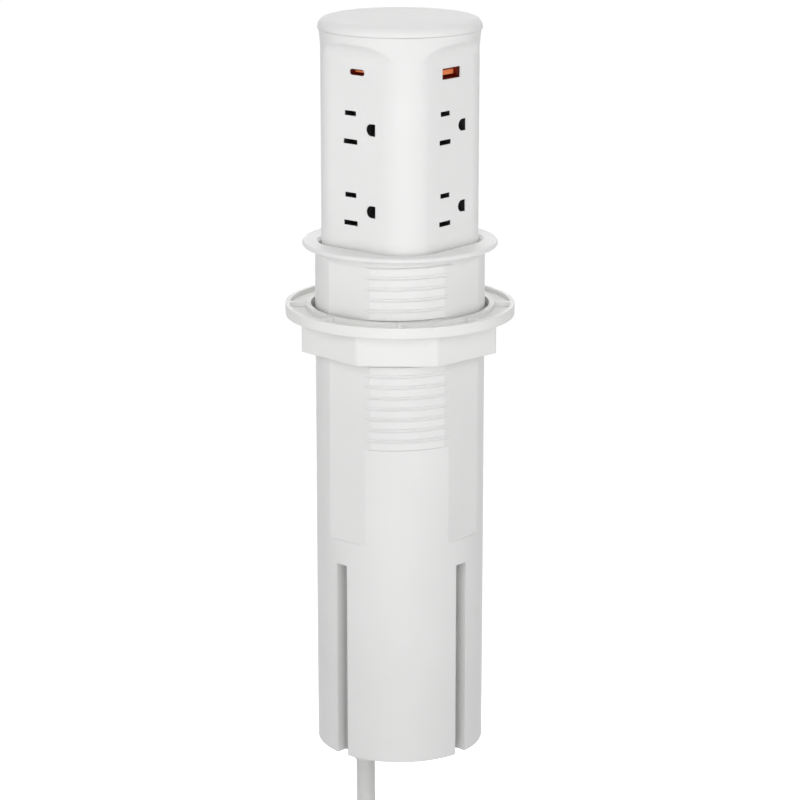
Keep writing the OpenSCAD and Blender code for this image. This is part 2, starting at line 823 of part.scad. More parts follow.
module housing_tube() {
    color(white_tube) difference() {
        union() {
            difference() {
                union() {
                    translate([0, 0, bottom_z]) cylinder(r = tube_r, h = tube_len + seat_relief);
                    for (turn = [135, 315], n = [0:ridge_count - 1]) {
                        rotate([0, 0, turn]) translate([0, 0, thread_z(turn, n)])
                            thread_ridge(tube_r - ridge_bury, thread_r, ridge_root_w, ridge_tip_w, thread_arc);
                    }
                }
                quarter_turns() translate([-tube_r, -flat_at - tube_r, -flats_len])
                    cube([2 * tube_r, tube_r, flats_len - neck_h]);
                translate([0, 0, bottom_z - over]) cylinder(r = bore_r, h = tube_len + 2 * over);
            }
            rotate([0, 0, slot_turn]) quarter_turns()
                translate([-rib_w / 2, -bore_r - ridge_bury, bottom_z])
                    cube([rib_w, bore_r + ridge_bury - rib_r, tube_len - slot_top + slot_wall]);
            quarter_turns() rotate([0, 0, 45]) translate([tube_boss_at, 0, bottom_cap_top_z])
                cylinder(r = boss_r, h = boss_h);
        }
        rotate([0, 0, slot_turn]) quarter_turns()
            translate([-slot_w / 2, -tube_r - over, bottom_z - over])
                cube([slot_w, tube_r + over - slot_floor_r, tube_len - slot_top + over]);
        quarter_turns() rotate([0, 0, 45]) translate([tube_boss_at, 0, bottom_cap_top_z - over])
            cylinder(r = screw_r + screw_pilot_gap, h = screw_len + over);
    }
}

module bottom_cap() {
    color(white_tube) difference() {
        translate([0, 0, bottom_cap_z]) cylinder(r = bore_r - fit_gap, h = bottom_cap_t);
        rotate([0, 0, slot_turn]) quarter_turns()
            translate([-rib_w / 2 - fit_gap, -bore_r - over, bottom_cap_z - over])
                cube([rib_w + 2 * fit_gap, bore_r + over - rib_r + fit_gap, bottom_cap_t + 2 * over]);
        quarter_turns() rotate([0, 0, 45]) translate([tube_boss_at, 0, bottom_cap_z - over])
            cylinder(r = screw_hole_r, h = bottom_cap_t + 2 * over);
        translate([exit_at[0], exit_at[1], bottom_cap_z - over])
            cylinder(r = gland_hole_r, h = bottom_cap_t + 2 * over);
    }
}

module bottom_cap_screws() {
    color(steel) quarter_turns() rotate([0, 0, 45]) translate([tube_boss_at, 0, bottom_cap_z]) {
        translate([0, 0, -screw_head_h]) cylinder(r = screw_head_r, h = screw_head_h);
        cylinder(r = screw_r, h = screw_len);
    }
}

module latch_post() {
    color(dark_core) {
        translate([0, 0, bottom_cap_top_z]) cylinder(r = post_r, h = latch_bottom_z - bottom_cap_top_z);
        translate([0, 0, post_flange_z]) cylinder(r = post_flange_r, h = post_flange_t);
    }
}

module latch_body() {
    color(dark_core) difference() {
        translate([0, 0, latch_bottom_z]) cylinder(r = latch_r, h = latch_top_z - latch_bottom_z);
        translate([0, 0, latch_floor_z])
            cylinder(r = catch_r + catch_gap, h = latch_top_z - latch_floor_z + over);
    }
}

module latch_catch() {
    color(tongue_orange) difference() {
        translate([0, 0, catch_bottom_z]) cylinder(r = catch_r, h = catch_top_z - catch_bottom_z);
        translate([0, 0, catch_floor_z])
            cylinder(r = striker_r + striker_gap, h = catch_top_z - catch_floor_z + over);
    }
}

// A spring wound at a steady rise between two heights
function spring_path(r, z0, z1, turns, rings) =
    [for (i = [0:turns * rings])
        let (s = i / (turns * rings))
        [r * cos(360 * turns * s), r * sin(360 * turns * s), z0 + (z1 - z0) * s]];
function outward(path) = [for (p = path) [p[0], p[1], 0]];

spring_rings = 8;
lift_path = spring_path(spring_r, spring_seat_z + spring_wire / 2 + fit_gap,
    carriage_disc_z - spring_wire / 2 - fit_gap, spring_turns, spring_rings);
latch_path = spring_path(latch_spring_r, latch_floor_z + latch_spring_wire / 2 + fit_gap,
    catch_bottom_z - latch_spring_wire / 2 - fit_gap, latch_spring_turns, spring_rings);

module lift_spring() {
    color(steel) tube(lift_path, outward(lift_path), spring_wire, 6);
}

module latch_spring() {
    color(steel) tube(latch_path, outward(latch_path), latch_spring_wire, 6);
}

// Cord

// The lead inside the tube winds up from the gland to the carriage, upright at both ends
lead_rings = 16;
lead_end_gap = 0.3;
lead_bottom_z = gland_top_z + lead_end_gap;
lead_rise = grip_bottom_z - lead_end_gap - lead_bottom_z;
lead_path = [for (i = [0:lead_turns * lead_rings])
    let (s = i / (lead_turns * lead_rings),
         a = exit_turn + 360 * lead_turns * (s - sin(360 * s) / (2 * PI)))
    [exit_r * cos(a), exit_r * sin(a), lead_bottom_z + lead_rise * s]];

module inner_lead() {
    color(cord_grey) tube(lead_path, outward(lead_path), lead_d, 8);
}

module cord_gland() {
    color(white_tube) translate([exit_at[0], exit_at[1], 0]) {
        translate([0, 0, bottom_cap_top_z]) cylinder(r = gland_flange_r, h = gland_flange_t);
        translate([0, 0, bottom_cap_z - over]) cylinder(r = gland_neck_r, h = bottom_cap_t + 2 * over);
        translate([0, 0, bottom_cap_z - gland_collar_h]) cylinder(r = gland_flange_r, h = gland_collar_h);
        translate([0, 0, gland_end_z])
            cylinder(r1 = gland_tip_r, r2 = gland_flange_r - gland_tip_wall,
                h = bottom_cap_z - gland_collar_h - gland_end_z + over);
    }
}

// The coil's turns: radius and layer at each point, reversing half way
function coil_share(d) = abs(d) < coil_turn_in ? d * d / (2 * coil_turn_in) + coil_turn_in / 2 : abs(d);
function coil_layer(d) = min(max(0.5 + d / (2 * coil_turn_in), 0), 1);
coil_round = [for (i = [0:coil_turns * coil_rings])
    let (t = i / coil_rings, d = t - coil_turns / 2, a = 180 + 360 * t,
         r = coil_inner_r + coil_step * coil_share(d))
    coil_middle + [coil_step * coil_layer(d), r * cos(a), r * sin(a)]];
coil_path = concat(
    [coil_round[0] + [0, 0, cord_d]], coil_round, [coil_round[len(coil_round) - 1] - [0, 0, cord_d]]
);

module power_cord() {
    color(cord_grey) tube(cord_points, [for (p = cord_points) [1, 0, 0]], cord_d, 10);
}

module cord_coil() {
    color(cord_grey) tube(coil_path, [for (p = coil_path) [1, 0, 0]], cord_d, 6);
}

module plug_lead() {
    color(cord_grey) tube(plug_lead_points, [for (p = plug_lead_points) [0, 1, 0]], cord_d, 10);
}

module cord_tie() {
    inner_x = coil_step + cord_d + 2 * tie_gap;
    inner_y = tie_outer - tie_inner;
    tie_at = coil_middle + [coil_step / 2, (tie_inner + tie_outer) / 2, 0];
    color(black_part) translate(tie_at) difference() {
        cube([inner_x + 2 * tie_t, inner_y + 2 * tie_t, tie_w], center = true);
        cube([inner_x, inner_y, tie_w + 2 * over], center = true);
    }
}

// Plug, hanging with its blades down

module plug_body() {
    color(cord_grey) translate(plug_at) {
        translate([0, 0, -plug_relief_h - over])
            cylinder(r1 = plug_relief_r[1], r2 = plug_relief_r[0], h = plug_relief_h + over);
        translate([0, 0, -plug_relief_h - plug_h]) linear_extrude(plug_h)
            rounded_rectangle(plug_d, plug_w, plug_corner_r);
    }
}

module plug_blades() {
    color(brass) for (s = [-1, 1]) {
        translate([plug_at[0] - plug_blade_shift - plug_blade[1] / 2,
                plug_at[1] + s * blade_pitch / 2 - plug_blade[0] / 2, plug_face_z - plug_blade[2]])
            cube([plug_blade[1], plug_blade[0], plug_blade[2]]);
    }
}

module plug_ground_pin() {
    pin_z = plug_face_z - plug_pin_len + plug_pin_r;
    color(brass) translate([plug_at[0] - plug_blade_shift + ground_offset, plug_at[1], pin_z]) {
        cylinder(r = plug_pin_r, h = plug_pin_len - plug_pin_r);
        sphere(plug_pin_r);
    }
}

// Clamp

module clamp_washer() {
    pocket_in = washer_hole_r + washer_inner_wall;
    pocket_out = washer_r - washer_outer_wall;
    rib_arc = 2 * asin(washer_rib_w / 2 / pocket_out);
    arc = 360 / washer_ribs - rib_arc;
    color(white_clamp) rotate([0, 0, washer_turn]) difference() {
        translate([0, 0, washer_top_z - washer_t]) ring(washer_r, washer_hole_r, washer_t);
        for (k = [0:washer_ribs - 1]) {
            rotate([0, 0, 360 / washer_ribs * k + rib_arc / 2]) rotate_extrude(angle = arc)
                translate([pocket_in, washer_top_z - washer_t + washer_floor_t])
                    square([pocket_out - pocket_in, washer_t]);
        }
    }
}

module clamp_nut() {
    room_top = nut_top_z - nut_end_room;
    room_bottom = nut_bottom_z + nut_end_room;
    color(white_clamp) {
        difference() {
            intersection() {
                translate([0, 0, nut_bottom_z]) rotate([0, 0, nut_turn])
                    cylinder(r = nut_w / 2 / cos(180 / nut_sides), h = nut_h, $fn = nut_sides);
                translate([0, 0, nut_bottom_z]) cylinder(r = nut_corner_r, h = nut_h);
            }
            translate([0, 0, nut_bottom_z - over]) cylinder(r = nut_bore_r, h = nut_h + 2 * over);
        }
        for (k = [0:3], n = [0:ridge_count]) {
            turn = nut_turn + 90 * k;
            z = thread_z(turn, n) + thread_pitch / 2;
            if (z < room_top && z > room_bottom) {
                rotate([0, 0, turn]) translate([0, 0, z])
                    thread_ridge(nut_bore_r + ridge_bury, tube_r + thread_gap,
                        nut_ridge_root_w, nut_ridge_tip_w, nut_ridge_arc);
            }
        }
    }
}

echo(coil_gap_least = least_gap(coil_path, cord_d, coil_rings));
echo(lead_gap_least = least_gap(lead_path, lead_d, lead_rings));
echo(lift_spring_gap_least = least_gap(lift_path, spring_wire, spring_rings));
echo(latch_spring_gap_least = least_gap(latch_path, latch_spring_wire, spring_rings));

housing_tube();
collar_ring();
bottom_cap();
bottom_cap_screws();
latch_post();
latch_body();
latch_spring();
lift_spring();
cord_gland();
inner_lead();
power_cord();
cord_coil();
plug_lead();
cord_tie();
plug_body();
plug_blades();
plug_ground_pin();
clamp_washer();
clamp_nut();
latch_catch();
tower_shell();
top_cap();
carriage();
carriage_screws();
felt_ring_upper();
felt_ring_lower();
latch_striker();
lead_grip();
for (k = [1:4]) {
    outlet_carrier(k);
}
line_contacts();
neutral_contacts();
ground_contacts();
charger_board();
charger_parts();
for (k = [1:2]) {
    usb_c_shell(k);
    usb_a_shell(k);
    usb_c_tongue(k);
    usb_a_tongue(k);
}
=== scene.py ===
"""Pop-up desk socket: finishes, cord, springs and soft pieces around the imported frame."""

import math

import bpy
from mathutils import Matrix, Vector, noise


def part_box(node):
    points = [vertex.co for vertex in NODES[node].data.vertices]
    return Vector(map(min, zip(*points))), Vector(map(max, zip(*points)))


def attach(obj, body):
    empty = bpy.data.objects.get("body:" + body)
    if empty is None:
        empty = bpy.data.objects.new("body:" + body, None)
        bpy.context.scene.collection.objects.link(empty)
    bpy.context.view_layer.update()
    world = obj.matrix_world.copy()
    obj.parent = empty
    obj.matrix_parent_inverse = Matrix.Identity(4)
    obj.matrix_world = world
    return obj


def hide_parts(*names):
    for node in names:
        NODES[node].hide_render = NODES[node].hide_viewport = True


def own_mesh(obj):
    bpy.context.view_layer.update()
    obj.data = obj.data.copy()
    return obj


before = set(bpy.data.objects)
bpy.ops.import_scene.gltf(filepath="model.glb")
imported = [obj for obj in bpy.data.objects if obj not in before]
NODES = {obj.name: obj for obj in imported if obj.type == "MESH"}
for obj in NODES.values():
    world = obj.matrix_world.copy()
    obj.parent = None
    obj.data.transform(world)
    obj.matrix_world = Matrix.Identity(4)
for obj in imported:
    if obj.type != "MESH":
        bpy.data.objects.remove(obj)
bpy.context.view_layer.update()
MM = 0.001
FULL_TURN = 2 * math.pi

# Camera, at the photograph's viewing angle, in metres and radians
CAMERA_AZIMUTH = math.radians(39.87)
CAMERA_DISTANCE = 1.25
CAMERA_HEIGHT = 0.2664
CAMERA_PITCH = math.radians(15.22)
CAMERA_LENS = 126.3
CAMERA_SENSOR = 36

# Lights: name, turn to the right of the camera, elevation, distance, size and power
LIGHTS = [
    ("key", -2, 12, 0.5, 0.4, 1.04),
    ("left", -70, 10, 0.45, 0.4, 0.59),
    ("right", 70, 10, 0.45, 0.4, 0.63),
    ("top", 0, 85, 1.2, 0.8, 3.05),
    ("low", 0, -20, 0.8, 0.6, 1.35),
    ("back", 180, 50, 1.0, 0.8, 3),
    ("rear", 180, -8, 0.9, 0.5, 2.5),
]
AMBIENT = 0.23

# Floor, in metres: its own white is weaker around the object, a painted shade in which its real
# shadow also falls
FLOOR_SIDE = 12.0
FLOOR_LEVEL = -0.532
FLOOR_GREY = 0.8
NEAR_REACH = 0.1
FAR_REACH = 0.5
PAINTED_SHADE_GLOW = 0.3
FAR_GLOW = 0.83

# Middle values of a noise texture
NOISE_LOW = 0.3
NOISE_HIGH = 0.7

# Moulded plastic: grain in repeats a metre, relief and edges in metres
DRIFT_GRAIN = 22
GLOSS_GRAIN = 160
SPARK_GRAIN = 3200
SPARK_DEPTH = 0.00002
EDGE_R = 0.0003

# Tower, in metres: painted shade darkens the walls of its openings behind the faces, dark red by
# the ports as a painted reflection, and its creases are soft under the rim
TOWER_HALF = 0.0295
FACE_HALF = 0.0147
PAINTED_SHADE_DEPTH = 0.0004
PAINTED_OPENING_SHADE = (0.012, 0.012, 0.012)
PORTS_BOTTOM = 0.0745
PAINTED_PORT_SHADE_AND_REFLECTION = (0.1, 0.014, 0.008)
RIM_TOP = 0.0983
RIM_FADE = (0.0025, 0.001)
CREASE_BOTTOM = 0.085
CREASE_FADE = 0.002
CREASE_R = 0.0025

# Tube, in metres: its guide slots, and the painted shade on their floors
TUBE_R = 0.0387
TUBE_BOTTOM = -0.2373
SLOT_TOP = -0.1443
SLOT_DEPTH = 0.0055
SLOT_EDGE = 0.0004
SLOT_SHADE = (0.54, 0.54, 0.535)

# Cord, as it leaves the bottom of the tube, in millimetres
CORD_D = 9.0
CORD_EXIT = (-19, -3, -254.5)
CORD_HANG = [
    CORD_EXIT, (-19, -3, -268), (-19, -3, -280), (-19, -5.5, -294), (-19, -12.5, -306),
    (-19, -23, -314.5), (-19, -34, -319), (-19, -45, -323.5), (-19, -55.5, -332),
    (-19, -62.5, -344), (-19, -65, -358), (-19, -65, -370), (-19, -65, -381),
]
PLUG_LEAD = [
    (-9.2, -65, -399), (-9.2, -65, -404), (-7, -65, -416.5), (0.4, -65, -429),
    (7.8, -65, -441.5), (10, -65, -454), (10, -65, -459),
]
COIL_MIDDLE = Vector((-19, -3, -390))
COIL_LEFT = 62.0
COIL_TURNS = 5
COIL_STEP = CORD_D + 0.8
COIL_RINGS = 24
COIL_TURN_IN = 0.25
COIL_INNER = COIL_LEFT - COIL_STEP * COIL_TURNS / 2

# Tie around the coil
TIE_W = 14.0
TIE_T = 1.6
TIE_SHARE = 0.92
TIE_GAP = 0.5
TIE_CORNER = 5.0
TIE_LAP_RISE = 6

# Plug, as sections down from the cord
PLUG_AT = Vector(PLUG_LEAD[-1])
PLUG_RELIEF_H = 20.0
PLUG_RIBS = 5
PLUG_RIB_CUT = 0.9
RELIEF_TIP_R = CORD_D / 2 + 0.8
RELIEF_ROOT_R = 8.0
PLUG_H = 30.0
PLUG_HALF_X = 12.5
PLUG_HALF_Y = 13.5
PLUG_CORNER = 8.0
SHOULDER_H = 6
SHOULDER_STEPS = 8
GRIP_FROM = 8
GRIP_TO = 24
GRIP_GROOVES = 6
GRIP_CUT = 0.6
GRIP_WAIST = 1.1
FACE_EDGE = [(0, 1.2), (0.35, 0.35), (1.2, 0)]
STEPS_A_RIB = 4

# Strain relief of the tube's bottom cap
GLAND_TOP = -228.0
GLAND_CAP_TOP = -231.0
GLAND_CAP_BOTTOM = -234.0
GLAND_COLLAR_BOTTOM = -238.0
GLAND_NECK_R = 6.3
GLAND_FLANGE_R = 8.2
GLAND_ROOT_R = 7.2
GLAND_TIP_R = 5.5
GLAND_RIBS = 5
GLAND_RIB_CUT = 1.1
GLAND_CLEAR = 0.2
GLAND_AXIS_R = 0.05
GLAND_SEGMENTS = 48

# Lift: springs, lead and felt
SPRING_R = 12.6
SPRING_WIRE = 1.8
SPRING_TURNS = 20
SPRING_FOOT = -222.0
SPRING_HEAD = -11.3
LATCH_SPRING_R = 4.2
LATCH_SPRING_WIRE = 0.8
LATCH_SPRING_TURNS = 3
LATCH_SPRING_FOOT = -155.0
LATCH_SPRING_HEAD = -147.0
SPRING_SEAT_GAP = 0.15
CLOSED_PITCH = 1.06
LEAD_D = 7.5
LEAD_TURNS = 4.5
LEAD_RINGS = 40
LEAD_SIDES = 20
LEAD_FOOT = -227.7
LEAD_HEAD = -19.6
FELT_T = 1.15
FELT_EDGE = 0.45
FELT_CORNER = 0.12
FELT_FUZZ = 0.12
FELT_FUZZ_SCALE = 9
FELT_FUZZ_MIDDLE = 0.6
FELT_SEGMENTS = 160


# Building blocks

def add_object(name, data):
    obj = bpy.data.objects.new(name, data)
    bpy.context.scene.collection.objects.link(obj)
    return obj


def add_mesh(name, points, faces, sharp_degrees=35):
    """A mesh object from points in millimetres, smooth except at sharp edges."""
    mesh = bpy.data.meshes.new(name)
    mesh.from_pydata([Vector(p) * MM for p in points], [], faces)
    mesh.update()
    mesh.polygons.foreach_set("use_smooth", [True] * len(mesh.polygons))
    mesh.set_sharp_from_angle(angle=math.radians(sharp_degrees))
    return add_object(name, mesh)


def loft(name, rings, closed=False):
    """A skin over rings of equally many points, capped at both ends or closed on itself."""
    count = len(rings[0])
    points = [p for ring in rings for p in ring]
    faces = []
    spans = len(rings) if closed else len(rings) - 1
    for i in range(spans):
        this, after = i * count, (i + 1) % len(rings) * count
        for k in range(count):
            n = (k + 1) % count
            faces.append((this + k, this + n, after + n, after + k))
    if not closed:
        faces.append(tuple(reversed(range(count))))
        faces.append(tuple(range((len(rings) - 1) * count, len(rings) * count)))
    return add_mesh(name, points, faces)


def on_circle(r, a, z):
    """A point at a radius, angle and height about the Z axis."""
    return Vector((r * math.cos(a), r * math.sin(a), z))


def even_turn(count):
    """Equally spaced angles around one turn."""
    return [FULL_TURN * k / count for k in range(count)]


def sweep(name, path, diameter, sides):
    """A round bar along a path that winds about the Z axis."""
    rings = []
    for i, p in enumerate(path):
        ahead = (path[min(i + 1, len(path) - 1)] - path[max(i - 1, 0)]).normalized()
        out = Vector((p.x, p.y, 0)).normalized()
        up = ahead.cross(out).normalized()
        out = up.cross(ahead)
        rings.append([p + (out * math.cos(a) + up * math.sin(a)) * diameter / 2
                      for a in even_turn(sides)])
    return loft(name, rings)


def lathe(name, profile, middle, segments):
    """A turned piece about an upright line through middle, from (radius, height) points."""
    axis = Vector((middle[0], middle[1], 0))
    turn = even_turn(segments)
    return loft(name, [[axis + on_circle(r, a, z) for a in turn] for r, z in profile])


def rounded_ring(half_x, half_y, corner, z, middle, corner_points=12):
    """A level rectangle with round corners, anticlockwise."""
    ring = []
    for quarter, (sx, sy) in enumerate([(1, 1), (-1, 1), (-1, -1), (1, -1)]):
        cx = middle.x + sx * (half_x - corner)
        cy = middle.y + sy * (half_y - corner)
        for k in range(corner_points):
            a = math.pi / 2 * (quarter + k / (corner_points - 1))
            ring.append((cx + corner * math.cos(a), cy + corner * math.sin(a), z))
    return ring


# Steps of a material

def ramp(tree, value, start, end, low, high):
    """A value that goes from low to high while another goes from start to end."""
    node = tree.nodes.new("ShaderNodeMapRange")
    sockets = ("From Min", "From Max", "To Min", "To Max")
    for socket, number in zip(sockets, (start, end, low, high)):
        node.inputs[socket].default_value = number
    tree.links.new(value, node.inputs["Value"])
    return node.outputs["Result"]


def spread(tree, texture, low, high):
    """A texture's middle values, spread between two numbers."""
    return ramp(tree, texture, NOISE_LOW, NOISE_HIGH, low, high)


def math_node(tree, operation, first, second=None):
    """One step of arithmetic on a link and a second link or number."""
    node = tree.nodes.new("ShaderNodeMath")
    node.operation = operation
    tree.links.new(first, node.inputs[0])
    if isinstance(second, (int, float)):
        node.inputs[1].default_value = second
    elif second is not None:
        tree.links.new(second, node.inputs[1])
    return node.outputs["Value"]


def mix_colours(tree, share, first, second):
    """A mix of two colours, each a link or three numbers."""
    node = tree.nodes.new("ShaderNodeMix")
    node.data_type = "RGBA"
    tree.links.new(share, node.inputs["Factor"])
    sockets = [socket for socket in node.inputs if socket.type == "RGBA"]
    for socket, colour in zip(sockets, (first, second)):
        if isinstance(colour, tuple):
            socket.default_value = (*colour, 1)
        else:
            tree.links.new(colour, socket)
    return next(socket for socket in node.outputs if socket.type == "RGBA")


def own_place(tree):
    """A point's place in the piece's own coordinates."""
    return tree.nodes.new("ShaderNodeTexCoord").outputs["Object"]


def own_axes(tree):
    """The three parts of a point's place in the piece's own coordinates."""
    axes = tree.nodes.new("ShaderNodeSeparateXYZ")
    tree.links.new(own_place(tree), axes.inputs["Vector"])
    return axes.outputs["X"], axes.outputs["Y"], axes.outputs["Z"]


def grain(tree, scale, detail=3.0, stretch=(1, 1, 1)):
    """Noise over the piece's own coordinates, with scale in repeats a metre."""
    mapping = tree.nodes.new("ShaderNodeMapping")
    mapping.inputs["Scale"].default_value = stretch
    texture = tree.nodes.new("ShaderNodeTexNoise")
    texture.inputs["Scale"].default_value = scale
    texture.inputs["Detail"].default_value = detail
    tree.links.new(own_place(tree), mapping.inputs["Vector"])
    tree.links.new(mapping.outputs["Vector"], texture.inputs["Vector"])
    return texture.outputs["Fac"]


def bands(tree, scale, direction):
    """Even waves across the piece's own coordinates, with scale in repeats a metre."""
    waves_a_turn = 20
    texture = tree.nodes.new("ShaderNodeTexWave")
    texture.bands_direction = direction
    texture.inputs["Scale"].default_value = scale * FULL_TURN / waves_a_turn
    tree.links.new(own_place(tree), texture.inputs["Vector"])
    return texture.outputs["Fac"]


def seen_directly(tree):
    """1 for camera, glossy and transmission rays, and 0 for the rays that light the object."""
    path = tree.nodes.new("ShaderNodeLightPath").outputs
    first = math_node(tree, "MAXIMUM", path["Is Camera Ray"], path["Is Glossy Ray"])
    return math_node(tree, "MAXIMUM", first, path["Is Transmission Ray"])


# Finishes

def new_finish(name, colour, roughness, metallic=0.0):
    material = bpy.data.materials.new(name)
    material.use_nodes = True
    tree = material.node_tree
    shader = tree.nodes["Principled BSDF"]
    shader.inputs["Base Color"].default_value = (*colour, 1)
    shader.inputs["Roughness"].default_value = roughness
    shader.inputs["Metallic"].default_value = metallic
    return material, tree, shader


def tint(tree, shader, texture, first, second):
    """Base colour that drifts between two colours with a texture."""
    colour = mix_colours(tree, spread(tree, texture, 0, 1), first, second)
    tree.links.new(colour, shader.inputs["Base Color"])


def cover(tree, shader, share, colour):
    """A second colour over the base colour, as far as a share from 0 to 1 says."""
    plain = shader.inputs["Base Color"].links[0].from_socket
    tree.links.new(mix_colours(tree, share, plain, colour), shader.inputs["Base Color"])


def uneven_gloss(tree, shader, texture, low, high):
    tree.links.new(spread(tree, texture, low, high), shader.inputs["Roughness"])


def relief(tree, shader, height, depth):
    """Fine surface relief of a depth in metres; gives its node."""
    bump = tree.nodes.new("ShaderNodeBump")
    bump.inputs["Distance"].default_value = depth
    tree.links.new(height, bump.inputs["Height"])
    tree.links.new(bump.outputs["Normal"], shader.inputs["Normal"])
    return bump


def plastic(name, light, dark, rough, edge_samples=4):
    """A drift of colour, uneven gloss, fine grain and eased edges; gives the edge node too."""
    material, tree, shader = new_finish(name, light, rough)
    tint(tree, shader, grain(tree, DRIFT_GRAIN), light, dark)
    uneven_gloss(tree, shader, grain(tree, GLOSS_GRAIN), rough - 0.05, rough + 0.06)
    bump = relief(tree, shader, grain(tree, SPARK_GRAIN, detail=2), SPARK_DEPTH)
    edge = tree.nodes.new("ShaderNodeBevel")
    edge.samples = edge_samples
    edge.inputs["Radius"].default_value = EDGE_R
    tree.links.new(edge.outputs["Normal"], bump.inputs["Normal"])
    return material, tree, shader, edge


def moulded_plastic(name, light, dark, rough):
    return plastic(name, light, dark, rough)[0]


def tower_plastic(name, light, dark, rough):
    """The tower's plastic: soft creases under the rim, and painted shade on the walls of its
    openings, dark red by the ports as a painted reflection.
    """
    material, tree, shader, edge = plastic(name, light, dark, rough, edge_samples=8)
    x, y, height = own_axes(tree)
    fade_from, fade_to = (RIM_TOP - below for below in RIM_FADE)
    below_rim = ramp(tree, height, fade_from, fade_to, 1, 0)
    above_ports = ramp(tree, height, CREASE_BOTTOM, CREASE_BOTTOM + CREASE_FADE, 0, CREASE_R)
    soft = math_node(tree, "MULTIPLY", below_rim, above_ports)
    tree.links.new(math_node(tree, "MAXIMUM", soft, EDGE_R), edge.inputs["Radius"])
    across, along = (math_node(tree, "ABSOLUTE", side) for side in (x, y))
    outer = math_node(tree, "MAXIMUM", across, along)
    inner = math_node(tree, "MINIMUM", across, along)
    behind_face = math_node(tree, "LESS_THAN", outer, TOWER_HALF - PAINTED_SHADE_DEPTH)
    on_face = math_node(tree, "LESS_THAN", inner, FACE_HALF)
    under_scoops = math_node(tree, "LESS_THAN", height, CREASE_BOTTOM)
    in_opening = math_node(tree, "MULTIPLY", behind_face, on_face)
    painted_shade_share = math_node(tree, "MULTIPLY", in_opening, under_scoops)
    at_ports = math_node(tree, "GREATER_THAN", height, PORTS_BOTTOM)
    # painted shade: the walls of the openings are coloured near black
    cover(tree, shader, painted_shade_share, PAINTED_OPENING_SHADE)
    # painted shade and painted reflection: by the ports the opening walls are dark red for the
    # orange tongues' light
    cover(tree, shader, math_node(tree, "MULTIPLY", painted_shade_share, at_ports), PAINTED_PORT_SHADE_AND_REFLECTION)
    return material


def tube_plastic(name, light, dark, rough):
    """The tube's plastic, with painted shade that darkens its colour towards the floors of its
    guide slots.
    """
    material, tree, shader = plastic(name, light, dark, rough)[:3]
    x, y, height = own_axes(tree)
    squares = [math_node(tree, "MULTIPLY", side, side) for side in (x, y)]
    radius = math_node(tree, "SQRT", math_node(tree, "ADD", *squares))
    depth = ramp(tree, radius, TUBE_R - SLOT_EDGE, TUBE_R - SLOT_DEPTH, 0, 1)
    under_top = math_node(tree, "LESS_THAN", height, SLOT_TOP + SLOT_EDGE)
    over_end = math_node(tree, "GREATER_THAN", height, TUBE_BOTTOM + SLOT_EDGE / 2)
    in_slot = math_node(tree, "MULTIPLY", under_top, over_end)
    # painted shade: the colour darkens with depth into the guide slots
    cover(tree, shader, math_node(tree, "MULTIPLY", depth, in_slot), SLOT_SHADE)
    return material


def worked_metal(name, light, dark, rough, stretch):
    """Metal with drawn or rolled streaks and a little dulling."""
    material, tree, shader = new_finish(name, light, rough, metallic=1)
    tint(tree, shader, grain(tree, 60), light, dark)
    streaks = grain(tree, 900, stretch=stretch)
    uneven_gloss(tree, shader, streaks, rough - 0.08, rough + 0.1)
    relief(tree, shader, streaks, 0.00001)
    return material


def make_cord_jacket():
    """Soft PVC with the faint waviness of an extruded jacket."""
    material, tree, shader = new_finish("cord_pvc", (0.78, 0.78, 0.77), 0.42)
    tint(tree, shader, grain(tree, 40), (0.79, 0.79, 0.78), (0.74, 0.74, 0.73))
    uneven_gloss(tree, shader, grain(tree, 300), 0.36, 0.5)
    relief(tree, shader, grain(tree, 700), 0.00005)
    return material


def make_felt():
    """Pressed fibres that lie mostly level."""
    material, tree, shader = new_finish("felt_fibre", (0.16, 0.16, 0.16), 0.95)
    shader.inputs["Sheen Weight"].default_value = 0.4
    fibres = grain(tree, 2600, detail=8, stretch=(1, 1, 2.5))
    tint(tree, shader, fibres, (0.1, 0.1, 0.1), (0.24, 0.24, 0.23))
    relief(tree, shader, fibres, 0.0003)
    return material


def make_webbing():
    """Woven tape: threads across and along, in a dark nylon."""
    material, tree, shader = new_finish("webbing_weave", (0.03, 0.03, 0.032), 0.8)
    shader.inputs["Sheen Weight"].default_value = 0.3
    weave = math_node(tree, "MULTIPLY", bands(tree, 900, "Z"), bands(tree, 600, "DIAGONAL"))
    tint(tree, shader, weave, (0.016, 0.016, 0.018), (0.05, 0.05, 0.052))
    relief(tree, shader, weave, 0.0002)
    return material


def make_board():
    """Circuit board: green mask with lighter tracks under it."""
    material, tree, shader = new_finish("board_mask", (0.02, 0.13, 0.05), 0.3)
    tracks = tree.nodes.new("ShaderNodeTexBrick")
    tracks.inputs["Scale"].default_value = 120
    tracks.inputs["Mortar Size"].default_value = 0.04
    tracks.inputs["Color1"].default_value = (0.015, 0.1, 0.04, 1)
    tracks.inputs["Color2"].default_value = (0.02, 0.13, 0.05, 1)
    tracks.inputs["Mortar"].default_value = (0.06, 0.25, 0.1, 1)
    tree.links.new(own_place(tree), tracks.inputs["Vector"])
    tree.links.new(tracks.outputs["Color"], shader.inputs["Base Color"])
    relief(tree, shader, tracks.outputs["Fac"], 0.00004)
    return material


